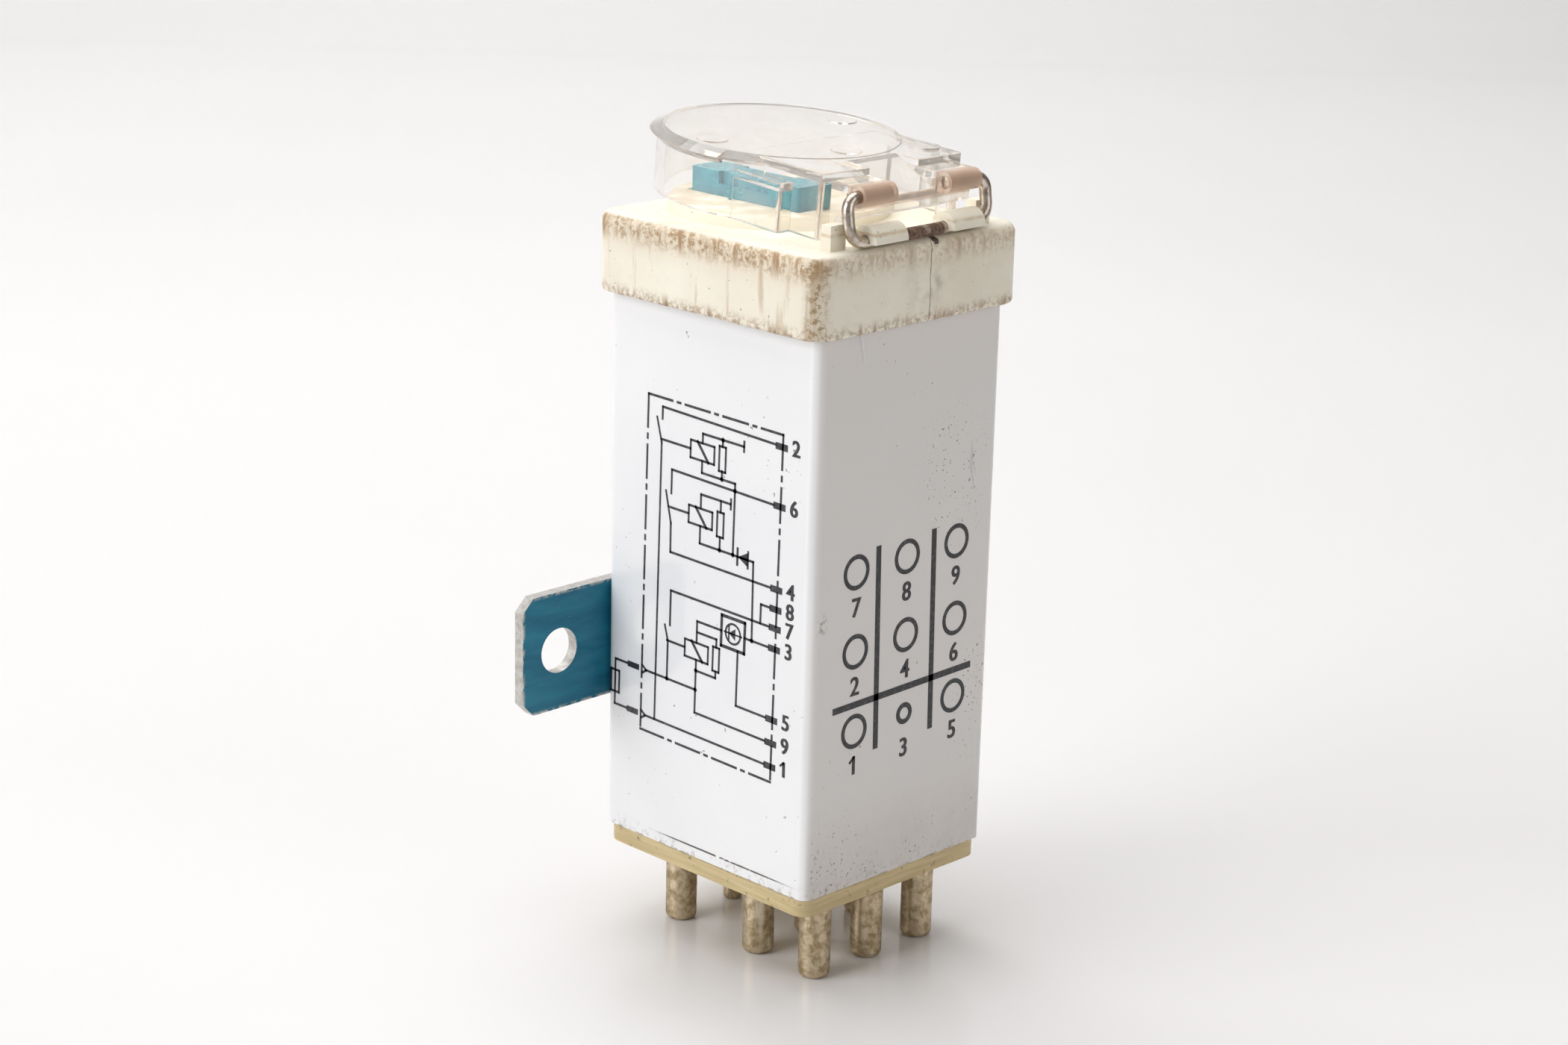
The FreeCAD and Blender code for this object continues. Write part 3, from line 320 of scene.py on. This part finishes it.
def bracket_metal():
    """Sheet-metal ear: blue lacquer on the face towards +X, bare dull metal on its edges, hole and back."""
    s = Shader("bracket_metal")
    facing = s.span(s.normal("X"), 0.6, 0.9)
    grain = s.noise(0.25, 5.0, 0.6, s.stretched(1.0, 0.5, 2.4))
    blue = s.mix(s.span(grain, 0.3, 0.7), (0.001, 0.125, 0.215), (0.004, 0.185, 0.29))
    scratch = s.span(s.noise(1.5, 5.0, 0.7, s.stretched(1.0, 0.35, 1.6)), 0.66, 0.74)
    ends = s.math("MAXIMUM", s.near("Z", 34.7, 0.5), s.near("Z", 19.4, 0.5))
    border = s.math("MAXIMUM", ends, s.near("Y", -29.8, 0.5))
    chips = s.times(border, s.span(s.noise(0.9, 5.0, 0.6), 0.42, 0.52))
    bare = s.math("MAXIMUM", s.times(scratch, 0.35), chips)
    paint = s.times(facing, s.math("SUBTRACT", 1.0, bare))
    dull = s.noise(1.4, 6.0, 0.65)
    silver = s.mix(s.span(dull, 0.38, 0.66), (0.58, 0.57, 0.54), (0.43, 0.41, 0.38))
    s.put(
        Base_Color=s.mix(paint, silver, blue),
        Metallic=s.times(s.math("SUBTRACT", 1.0, paint), 0.75),
        Roughness=s.mix(paint, (0.42, 0.42, 0.42), (0.30, 0.30, 0.30)),
        Specular_IOR_Level=s.math("ADD", 0.25, s.times(grain, 0.3)),
    )
    s.bump(s.times(dull, s.math("SUBTRACT", 1.0, facing)), 0.4, 0.12)
    return s.material


def clear_plastic():
    """Moulded clear plastic, slightly hazed; edges catch dirt and the hinge tubes are stained tan."""
    s = Shader("clear_plastic")
    scratch = s.noise(1.2, 5.0, 0.7, s.stretched(1.0, 0.25, 1.0))
    smudge = s.noise(0.12, 4.0, 0.5)
    weight = s.add("ShaderNodeLayerWeight")
    weight.inputs["Blend"].default_value = 0.35
    clear = s.mix(s.span(smudge, 0.35, 0.65), (0.985, 0.975, 0.96), (0.96, 0.95, 0.93))
    # painted shade: the clear plastic turns darker and warmer where its surface turns away from the camera
    clear = s.mix(s.span(weight.outputs["Facing"], 0.30, 0.95, 0.0, 0.6), clear, (0.70, 0.65, 0.60))
    tubes = s.times(s.span(s.axis("X"), 0.01615, 0.01635), s.span(s.axis("Z"), 0.0858, 0.0862))
    clear = s.mix(s.times(tubes, 0.75), clear, (0.86, 0.66, 0.54))
    s.put(
        Base_Color=clear,
        Roughness=s.math("ADD", 0.03, s.span(scratch, 0.62, 0.75, 0.0, 0.12)),
        Transmission_Weight=1.0, IOR=1.46,
    )
    s.bump(s.noise(0.12, 2.0, 0.4), 0.06, 0.2)
    edge = s.times(s.edge_wear(0.30), s.span(s.noise(0.35, 5.0, 0.6), 0.30, 0.60, 0.25, 1.0))
    dirt = s.math("MAXIMUM", s.times(edge, 0.55), s.times(tubes, 0.45))
    haze = s.add("ShaderNodeBsdfDiffuse")
    soiled = s.math("MINIMUM", s.times(dirt, 3.0), 1.0)
    s.link(s.mix(soiled, (0.86, 0.84, 0.80), (0.60, 0.46, 0.36)), haze.inputs["Color"])
    blend = s.add("ShaderNodeMixShader")
    s.link(s.math("MAXIMUM", dirt, s.span(smudge, 0.40, 0.70, 0.07, 0.17)), blend.inputs[0])
    s.link(s.surface.outputs[0], blend.inputs[1])
    s.link(haze.outputs[0], blend.inputs[2])
    see_through = s.add("ShaderNodeBsdfTransparent")
    see_through.inputs["Color"].default_value = (0.90, 0.89, 0.87, 1.0)
    ray = s.add("ShaderNodeLightPath")
    shadow = s.add("ShaderNodeMixShader")
    s.link(ray.outputs["Is Shadow Ray"], shadow.inputs[0])
    s.link(blend.outputs[0], shadow.inputs[1])
    s.link(see_through.outputs[0], shadow.inputs[2])
    s.link(shadow.outputs[0], s.output.inputs["Surface"])
    return s.material


def fuse_plastic():
    """Teal translucent fuse body."""
    s = Shader("fuse_plastic")
    swirl = s.noise(0.3, 3.0)
    s.put(
        Base_Color=s.mix(s.span(swirl, 0.3, 0.7), (0.0, 0.23, 0.33), (0.0, 0.33, 0.42)),
        Roughness=s.span(swirl, 0.3, 0.7, 0.2, 0.32), Transmission_Weight=0.25, IOR=1.45,
        Subsurface_Weight=0.3, Subsurface_Scale=0.002,
    )
    return s.material


def ink():
    s = Shader("print_ink")
    fade = s.noise(1.6, 5.0, 0.7)
    s.put(
        Base_Color=s.mix(s.span(fade, 0.45, 0.8), (0.018, 0.018, 0.022), (0.10, 0.10, 0.11)),
        Roughness=s.span(fade, 0.3, 0.7, 0.3, 0.42),
    )
    return s.material


MATERIALS = {
    "white_lacquer": lacquer(),
    "ivory_plastic": ivory(),
    "epoxy_board": board_edge(),
    "pin_metal": pin_metal(),
    "wire_steel": wire_steel(),
    "bracket_metal": bracket_metal(),
    "clear_plastic": clear_plastic(),
    "fuse_plastic": fuse_plastic(),
    "white_plastic": speckled("white_plastic", (0.72, 0.70, 0.62), (0.64, 0.62, 0.54), 0.2, (0.4, 0.55)),
    "board": speckled("board", (0.20, 0.24, 0.07), (0.15, 0.19, 0.05), 0.6, (0.35, 0.5), bump=0.05),
    "brass": speckled("brass", (0.55, 0.45, 0.24), (0.36, 0.28, 0.15), 0.9, (0.3, 0.45), 1.0, 0.1),
    "solder": speckled("solder", (0.62, 0.62, 0.64), (0.44, 0.44, 0.46), 0.8, (0.2, 0.4), 1.0, 0.15),
    "steel": speckled("steel", (0.55, 0.54, 0.52), (0.38, 0.36, 0.34), 0.7, (0.3, 0.5), 1.0, 0.15),
    "fuse_metal": speckled("fuse_metal", (0.62, 0.62, 0.60), (0.48, 0.47, 0.45), 0.5, (0.25, 0.4), 1.0),
    "clip_bronze": speckled("clip_bronze", (0.56, 0.33, 0.17), (0.42, 0.23, 0.12), 0.6, (0.25, 0.4), 1.0),
    "black_plastic": speckled(
        "black_plastic", (0.012, 0.012, 0.013), (0.03, 0.03, 0.03), 0.8, (0.35, 0.55), bump=0.05,
    ),
    "capacitor_plastic": speckled(
        "capacitor_plastic", (0.36, 0.04, 0.02), (0.28, 0.03, 0.02), 0.3, (0.15, 0.3),
    ),
    "wire_insulation": speckled("wire_insulation", (0.30, 0.012, 0.01), (0.22, 0.01, 0.01), 0.4, (0.35, 0.5)),
    "iron": speckled("iron", (0.46, 0.45, 0.43), (0.32, 0.31, 0.30), 0.6, (0.3, 0.5), 1.0, 0.1),
    "copper": speckled("copper", (0.40, 0.12, 0.04), (0.28, 0.08, 0.03), 1.5, (0.25, 0.4), 0.8, 0.2),
    "resistor_film": speckled("resistor_film", (0.50, 0.36, 0.16), (0.42, 0.29, 0.12), 0.6, (0.3, 0.4)),
}
INK = ink()


def add_object(name, data):
    thing = bpy.data.objects.new(name, data)
    bpy.context.scene.collection.objects.link(thing)
    return thing


def add_lacquer_piece(name, mesh, material):
    """A piece that rides with the can and carries the given material."""
    mesh.materials.append(material)
    thing = add_object(name, mesh)
    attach(thing, "case")


def paint_nodes():
    for row in frame["record"]["subparts"]:
        mesh = NODES[row["node"]].data
        mesh.materials.clear()
        mesh.materials.append(MATERIALS[row["material_slot"]])


# ---------------------------------------------------------------- printed marks
class Print:
    """Flat ink on one face of the can, drawn in millimetres across the face (u to the right, z up)."""

    def __init__(self, name, face, turn, pivot):
        self.name = name
        self.face = face
        self.turn = math.radians(turn)
        self.pivot = pivot
        self.mesh = bmesh.new()

    def turned(self, u, z):
        """Where a point of the straight drawing lands once the print is turned clockwise about its pivot."""
        du, dz = u - self.pivot[0], z - self.pivot[1]
        c, s = math.cos(self.turn), math.sin(self.turn)
        return self.pivot[0] + c * du + s * dz, self.pivot[1] - s * du + c * dz

    def place(self, u, z, lift):
        u, z = self.turned(u, z)
        if self.face == "left":
            return Vector((u * MM, (CAN_LEFT_Y - lift) * MM, z * MM))
        return Vector(((CAN_FRONT_X + lift) * MM, u * MM, z * MM))

    def patch(self, corners):
        """Thin closed slab over a polygon of (u, z) corners."""
        bottom = [self.mesh.verts.new(self.place(u, z, 0.004)) for u, z in corners]
        top = [self.mesh.verts.new(self.place(u, z, INK_THICKNESS)) for u, z in corners]
        self.mesh.faces.new(top)
        self.mesh.faces.new(bottom[::-1])
        for i in range(len(corners)):
            j = (i + 1) % len(corners)
            self.mesh.faces.new((bottom[i], bottom[j], top[j], top[i]))

    def bar(self, a, b, width=0.31):
        du, dz = b[0] - a[0], b[1] - a[1]
        length = math.hypot(du, dz)
        ex, ez = du / length * width / 2, dz / length * width / 2
        self.patch([
            (a[0] - ex + ez, a[1] - ez - ex), (b[0] + ex + ez, b[1] + ez - ex),
            (b[0] + ex - ez, b[1] + ez + ex), (a[0] - ex - ez, a[1] - ez + ex),
        ])

    def path(self, points, width=0.31):
        for a, b in zip(points, points[1:]):
            self.bar(a, b, width)

    def dashes(self, a, b, pattern=(4.2, 0.9, 0.5, 0.9), width=0.32):
        """Dash-dot line."""
        length = math.hypot(b[0] - a[0], b[1] - a[1])
        along, turn = 0.0, 0
        while along < length:
            step = min(pattern[turn % len(pattern)], length - along)
            if turn % 2 == 0 and step > 0.1:
                p, q = along / length, (along + step) / length
                self.bar(
                    (a[0] + (b[0] - a[0]) * p, a[1] + (b[1] - a[1]) * p),
                    (a[0] + (b[0] - a[0]) * q, a[1] + (b[1] - a[1]) * q),
                    width,
                )
            along += step
            turn += 1

    def frame(self, u, z, width=0.31):
        self.path([(u[0], z[0]), (u[1], z[0]), (u[1], z[1]), (u[0], z[1]), (u[0], z[0])], width)

    def block(self, u, z):
        self.patch([(u[0], z[0]), (u[1], z[0]), (u[1], z[1]), (u[0], z[1])])

    def ring(self, u, z, outer, inner, steps=48):
        for i in range(steps):
            a, b = 2 * math.pi * i / steps, 2 * math.pi * (i + 1) / steps
            corners = ((inner, a), (outer, a), (outer, b), (inner, b))
            self.patch([(u + r * math.cos(t), z + r * math.sin(t)) for r, t in corners])

    def dot(self, u, z, radius=0.3, steps=20):
        self.patch([
            (u + radius * math.cos(2 * math.pi * i / steps), z + radius * math.sin(2 * math.pi * i / steps))
            for i in range(steps)
        ])

    def done(self):
        data = bpy.data.meshes.new(self.name)
        self.mesh.normal_update()
        bmesh.ops.recalc_face_normals(self.mesh, faces=self.mesh.faces)
        self.mesh.to_mesh(data)
        self.mesh.free()
        add_lacquer_piece(self.name, data, INK)


def label(name, text, face, u, z, height, narrow):
    """A plain number as thin ink, centred on (u, z), struck twice side by side to look bold."""
    curve = bpy.data.curves.new(name, "FONT")
    curve.body = text
    curve.size = height * MM / 0.7
    curve.align_x = "CENTER"
    curve.align_y = "CENTER"
    curve.offset = 0.04 * MM
    curve.extrude = INK_THICKNESS * MM / 2
    thing = add_object(name, curve)
    if face == "left":
        axes = Matrix(((1, 0, 0), (0, 0, -1), (0, 1, 0)))
        spot = Vector((u * MM, (CAN_LEFT_Y - INK_THICKNESS / 2) * MM, z * MM))
    else:
        axes = Matrix(((0, 0, 1), (1, 0, 0), (0, 1, 0)))
        spot = Vector(((CAN_FRONT_X + INK_THICKNESS / 2) * MM, u * MM, z * MM))
    turned = axes.to_4x4() @ Matrix.Diagonal((narrow, 1, 1, 1))
    bpy.context.view_layer.update()
    glyphs = bpy.data.meshes.new_from_object(thing.evaluated_get(bpy.context.evaluated_depsgraph_get()))
    bpy.data.objects.remove(thing)
    ink_mesh = bmesh.new()
    for shift, sink in ((-0.07, 0.0), (0.07, -0.01)):
        strike = glyphs.copy()
        strike.transform(Matrix.Translation(spot) @ turned @ Matrix.Translation((shift * MM, 0, sink * MM)))
        ink_mesh.from_mesh(strike)
    mesh = bpy.data.meshes.new(name)
    ink_mesh.to_mesh(mesh)
    ink_mesh.free()
    add_lacquer_piece(name, mesh, INK)


# Circuit on the left face: u is x. Pin map on the right face: u is y. Both prints sit slightly askew.
TERMINALS = {2: 58.5, 6: 51.2, 4: 40.9, 8: 38.4, 7: 36.0, 3: 33.4, 5: 24.4, 9: 21.4, 1: 18.4}
TERMINAL_U = (10.9, 12.9)
FRAME_U, FRAME_Z = (-11.0, 12.1), (16.4, 60.0)
PLUGS_Z = (24.4, 18.4)
MAP_COLUMNS, MAP_ROWS = (-8.55, 0.3, 9.15), (42.95, 32.95, 22.75)
MAP_NUMBERS = ((7, 8, 9), (2, 4, 6), (1, 3, 5))
CIRCUIT_TURN, CIRCUIT_PIVOT = 1.1, (0.6, 38.3)
MAP_TURN, MAP_PIVOT = -1.2, (0.2, 33.0)
THIN_PIN = 3
PIN_RING, THIN_PIN_RING = (2.22, 1.64), (1.4, 0.76)
GRID_WIDTH = 0.85
NUMBER_U, NUMBER_HEIGHT, NUMBER_NARROW = 14.3, 1.95, 0.95
MAP_NUMBER_DROP, MAP_NUMBER_HEIGHT = 4.55, 2.35
COIL_LEFT, COIL_RIGHT, COIL_MIDDLE, RESISTOR_U = -3.4, 0.7, -1.35, 2.1


def relay_symbol(ink_print, coil_z, top_z, top_end):
    """Coil box with its diagonal, the resistor beside it, and the lead that joins their upper ends."""
    left, right, middle, resistor = COIL_LEFT, COIL_RIGHT, COIL_MIDDLE, RESISTOR_U
    ink_print.frame((left, right), (coil_z - 1.1, coil_z + 1.1), 0.3)
    ink_print.bar((left + 1.2, coil_z + 1.1), (right - 1.0, coil_z - 1.1), 0.4)
    ink_print.frame((resistor - 0.55, resistor + 0.55), (coil_z - 1.65, coil_z + 1.45), 0.3)
    ink_print.path([(middle, coil_z + 1.1), (middle, top_z), (top_end, top_z)])
    ink_print.bar((resistor, coil_z + 1.45), (resistor, top_z))


def circuit():
    p = Print("circuit_print", "left", CIRCUIT_TURN, CIRCUIT_PIVOT)
    (u0, u1), (z0, z1) = FRAME_U, FRAME_Z
    p.dashes((u0, z1), (u0, z0))
    p.dashes((u0, z1), (u1, z1))
    p.dashes((u1, z1), (u1, z0))
    p.dashes((u0, z0), (u1, z0))
    for z in TERMINALS.values():
        p.block(TERMINAL_U, (z - 0.42, z + 0.42))
    block = TERMINAL_U[0]

    # K3: long switch blade that reaches down to terminal 1
    p.path([(-8.45, 57.4), (-8.45, 58.9), (block, 58.6)])
    p.path([(-9.4, 57.4), (-8.5, 54.4), (-8.5, TERMINALS[1])], 0.3)
    p.bar((-8.6, 54.8), (COIL_LEFT, 54.8))
    relay_symbol(p, 54.8, 57.1, 5.7)
    p.bar((5.7, 56.5), (5.7, 57.7))
    p.path([(COIL_MIDDLE, 53.7), (COIL_MIDDLE, 52.2), (4.4, 52.2), (4.4, 43.3)])
    p.bar((RESISTOR_U, 53.2), (RESISTOR_U, 52.2))
    p.dot(RESISTOR_U, 57.1)
    p.dot(RESISTOR_U, 52.2)

    # K1 and its diode
    p.path([(-6.55, 48.4), (-6.55, 51.4), (block, TERMINALS[6])])
    p.path([(-7.5, 48.5), (-6.5, 44.6), (-6.45, TERMINALS[4]), (block, TERMINALS[4])])
    p.bar((-7.0, 46.6), (COIL_LEFT, 46.6))
    relay_symbol(p, 46.6, 49.5, 3.8)
    p.bar((3.8, 48.9), (3.8, 50.1))
    p.path([(COIL_MIDDLE, 45.5), (COIL_MIDDLE, 43.3), (7.9, 43.3), (8.1, 33.4)])
    p.bar((RESISTOR_U, 44.9), (RESISTOR_U, 43.3))
    p.bar((5.2, 42.3), (5.2, 44.3), 0.34)
    p.patch([(5.3, 43.3), (7.0, 42.4), (7.0, 44.2)])
    p.bar((7.0, 42.3), (7.0, 44.3), 0.3)
    p.dot(4.4, 43.3)
    p.dot(RESISTOR_U, 43.3)
    p.dot(4.4, 51.3)

    # K2, its electronic unit and the shared feed
    p.path([(-6.15, 31.5), (-6.15, 36.0), (block, TERMINALS[7])])
    p.path([(-7.05, 31.3), (-6.45, 29.4), (-6.45, PLUGS_Z[0])])
    p.bar((-6.6, 29.4), (COIL_LEFT, 29.4))
    relay_symbol(p, 29.4, 31.9, 2.1)
    p.path([(COIL_MIDDLE, 31.9), (COIL_MIDDLE, 33.3), (2.9, 33.3)])
    p.path([(RESISTOR_U, 27.75), (RESISTOR_U, 26.9), (COIL_MIDDLE, 26.9)])
    p.path([(COIL_MIDDLE, 28.3), (COIL_MIDDLE, TERMINALS[9]), (block, TERMINALS[9])])
    p.frame((2.9, 6.9), (31.4, 35.3), 0.42)
    p.ring(4.9, 33.35, 1.4, 1.12)
    p.patch([(4.2, 33.35), (5.3, 32.6), (5.3, 34.1)])
    p.bar((4.2, 32.5), (4.2, 34.2), 0.24)
    p.bar((3.4, 33.35), (6.4, 33.35), 0.2)
    p.bar((6.9, TERMINALS[3]), (block, TERMINALS[3]))
    p.path([(5.8, 31.4), (5.8, TERMINALS[5]), (block, TERMINALS[5])])
    p.path([(9.45, TERMINALS[8]), (9.45, TERMINALS[7])])
    p.bar((9.45, TERMINALS[8]), (block, TERMINALS[8]))
    p.dot(COIL_MIDDLE, PLUGS_Z[0])
    p.dot(-6.45, PLUGS_Z[0])
    p.dot(COIL_MIDDLE, 26.9)
    p.dot(8.1, 33.4)

    # fuse and its two plug contacts
    upper, lower = PLUGS_Z
    p.bar((-10.2, upper), (COIL_MIDDLE, upper))
    p.bar((-10.2, lower), (block, lower))
    for z in PLUGS_Z:
        p.path([(-10.9, z + 0.5), (-10.2, z), (-10.9, z - 0.5)])
        p.block((-13.6, -11.5), (z - 0.38, z + 0.38))
        p.bar((-15.85, z), (-13.6, z))
    p.bar((-15.85, upper), (-15.85, lower))
    p.frame((-16.6, -15.1), (20.0, 22.9), 0.3)
    p.done()

    one_u, one_z = 14.25, TERMINALS[1] + 1.1
    flag = Print("circuit_one_flag", "left", CIRCUIT_TURN, CIRCUIT_PIVOT)
    flag.bar((one_u - 0.5, one_z - 0.42), (one_u, one_z), 0.3)
    flag.done()
    for number, z in TERMINALS.items():
        spot = p.turned(NUMBER_U, z + 0.15)
        label(f"circuit_number_{number}", str(number), "left", *spot, NUMBER_HEIGHT, NUMBER_NARROW)


def pin_map():
    p = Print("pin_map_print", "right", MAP_TURN, MAP_PIVOT)
    for row, numbers in zip(MAP_ROWS, MAP_NUMBERS):
        for column, number in zip(MAP_COLUMNS, numbers):
            p.ring(column, row, *(THIN_PIN_RING if number == THIN_PIN else PIN_RING))
            spot = p.turned(column, row - MAP_NUMBER_DROP)
            label(f"map_number_{number}", str(number), "right", *spot, MAP_NUMBER_HEIGHT, NUMBER_NARROW)
    for u in (-4.75, 5.05):
        p.bar((u, 19.9), (u, 45.0), GRID_WIDTH)
    p.bar((-11.9, 26.15), (11.9, 26.15), GRID_WIDTH)
    one_u, one_z = MAP_COLUMNS[0], MAP_ROWS[2] - 3.4
    p.bar((one_u - 0.62, one_z - 0.5), (one_u, one_z), 0.36)
    p.done()


def lacquer_drips():
    """Runs of lacquer that dried on the right face: (y, top, bottom, width), lean towards +y as they fall."""
    drips = bmesh.new()
    for y, top, bottom, width in ((-9.6, 75.0, 68.2, 0.85), (10.9, 55.6, 49.2, 0.9)):
        steps, around = 18, 10
        rows = []
        for i in range(steps + 1):
            share = i / steps
            swell = math.sin(math.pi * min(share * 0.94 + 0.03, 1.0)) * (0.5 + 0.5 * share ** 2)
            z = top + (bottom - top) * share
            middle = y + 0.9 * share + 0.12 * math.sin(9 * share)
            row = []
            for k in range(around + 1):
                a = math.pi * k / around
                out, across = 0.55 * swell * math.sin(a), 0.5 * width * swell * math.cos(a)
                row.append(drips.verts.new(((CAN_FRONT_X + out) * MM, (middle + across) * MM, z * MM)))
            rows.append(row)
        for low, high in zip(rows, rows[1:]):
            for k in range(around):
                drips.faces.new((low[k], low[k + 1], high[k + 1], high[k]))
    bmesh.ops.recalc_face_normals(drips, faces=drips.faces)
    data = bpy.data.meshes.new("lacquer_drips")
    drips.to_mesh(data)
    drips.free()
    for face in data.polygons:
        face.use_smooth = True
    add_lacquer_piece("lacquer_drips", data, MATERIALS["white_lacquer"])


# ---------------------------------------------------------------- floor, light, camera
FLOOR_HALF = 2.6
FLOOR_BEND_AT, FLOOR_BEND_RADIUS, BACKDROP_TOP = 0.75, 0.35, 1.8
FLOOR_TURN = math.radians(134.5)


def stage_set():
    floor = Shader("studio_floor")
    tone = floor.noise(0.002, 3.0)
    floor.put(
        Base_Color=floor.mix(floor.span(tone, 0.3, 0.7), (0.73, 0.72, 0.72), (0.76, 0.75, 0.75)),
        Roughness=floor.span(tone, 0.3, 0.7, 0.16, 0.22), Specular_IOR_Level=0.4,
    )
    profile = [(-FLOOR_HALF, 0.0), (FLOOR_BEND_AT, 0.0)]
    steps = 14
    radius = FLOOR_BEND_RADIUS
    for i in range(1, steps + 1):
        a = math.pi / 2 * i / steps
        profile.append((FLOOR_BEND_AT + radius * math.sin(a), radius * (1 - math.cos(a))))
    profile.append((FLOOR_BEND_AT + radius, BACKDROP_TOP))
    mesh = bmesh.new()
    rows = []
    for away, up in profile:
        rows.append([mesh.verts.new((away, side, up)) for side in (-FLOOR_HALF, FLOOR_HALF)])
    for (a, b), (c, d) in zip(rows, rows[1:]):
        mesh.faces.new((a, b, d, c))
    data = bpy.data.meshes.new("studio_floor")
    mesh.to_mesh(data)
    mesh.free()
    for face in data.polygons:
        face.use_smooth = True
    data.materials.append(floor.material)
    thing = add_object("studio_floor", data)
    lowest = min(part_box(n)[0].z for n in NODES)
    thing.matrix_world = Matrix.Translation((0, 0, lowest)) @ Matrix.Rotation(FLOOR_TURN, 4, "Z")


def lamp(name, place, aim, size, power, colour=(1, 1, 1)):
    light = bpy.data.lights.new(name, "AREA")
    light.shape = "RECTANGLE"
    light.size, light.size_y = size
    light.energy = power
    light.color = colour
    thing = add_object(name, light)
    thing.location = place
    thing.rotation_euler = (Vector(aim) - Vector(place)).to_track_quat("-Z", "Y").to_euler()


def lights():
    bpy.context.scene.view_settings.view_transform = "Standard"
    world = bpy.data.worlds.new("studio")
    bpy.context.scene.world = world
    world.use_nodes = True
    world.node_tree.nodes["Background"].inputs["Color"].default_value = (1.0, 0.98, 0.96, 1)
    world.node_tree.nodes["Background"].inputs["Strength"].default_value = 0.27
    lamp("left_softbox", (-0.30, -0.85, 0.45), (0, 0, 0.05), (0.7, 0.8), 6.8, (0.99, 0.99, 1.0))
    lamp("top_softbox", (-0.25, 0.0, 0.95), (0, 0, 0.0), (1.0, 1.0), 6.8)
    lamp("backdrop_light", (-0.55, 0.15, 0.9), (-0.75, 0.75, 0.1), (1.2, 0.5), 3.8)
    lamp("right_fill", (0.85, 0.15, 0.45), (0, 0, 0.05), (0.6, 0.8), 1.8, (1.0, 0.96, 0.91))


def camera():
    """Same lens and place as the reference view: 44.5 degrees round, 16.8 degrees up, a slight roll."""
    azimuth, elevation, roll = math.radians(44.48), math.radians(16.76), math.radians(1.44)
    aim, distance = Vector((-1.34, -1.55, 43.09)) * MM, 393.36 * MM
    level = math.cos(elevation)
    back = Vector((math.sin(azimuth) * level, -math.cos(azimuth) * level, math.sin(elevation)))
    right = Vector((math.cos(azimuth), math.sin(azimuth), 0))
    up = back.cross(right)
    side = math.cos(roll) * right + math.sin(roll) * up
    top = -math.sin(roll) * right + math.cos(roll) * up
    data = bpy.data.cameras.new("camera")
    data.sensor_width = 36.0
    data.lens = 72.74
    data.clip_start = 0.01
    thing = add_object("camera", data)
    turn = Matrix((side, top, back)).transposed().to_4x4()
    thing.matrix_world = Matrix.Translation(aim + back * distance) @ turn
    bpy.context.scene.camera = thing


def smooth_round_parts():
    """Rounds the shading of curved CAD faces and keeps their creases."""
    for thing in NODES.values():
        for face in thing.data.polygons:
            face.use_smooth = True
        thing.data.set_sharp_from_angle(angle=math.radians(28))


paint_nodes()
smooth_round_parts()
circuit()
pin_map()
lacquer_drips()
stage_set()
lights()
camera()
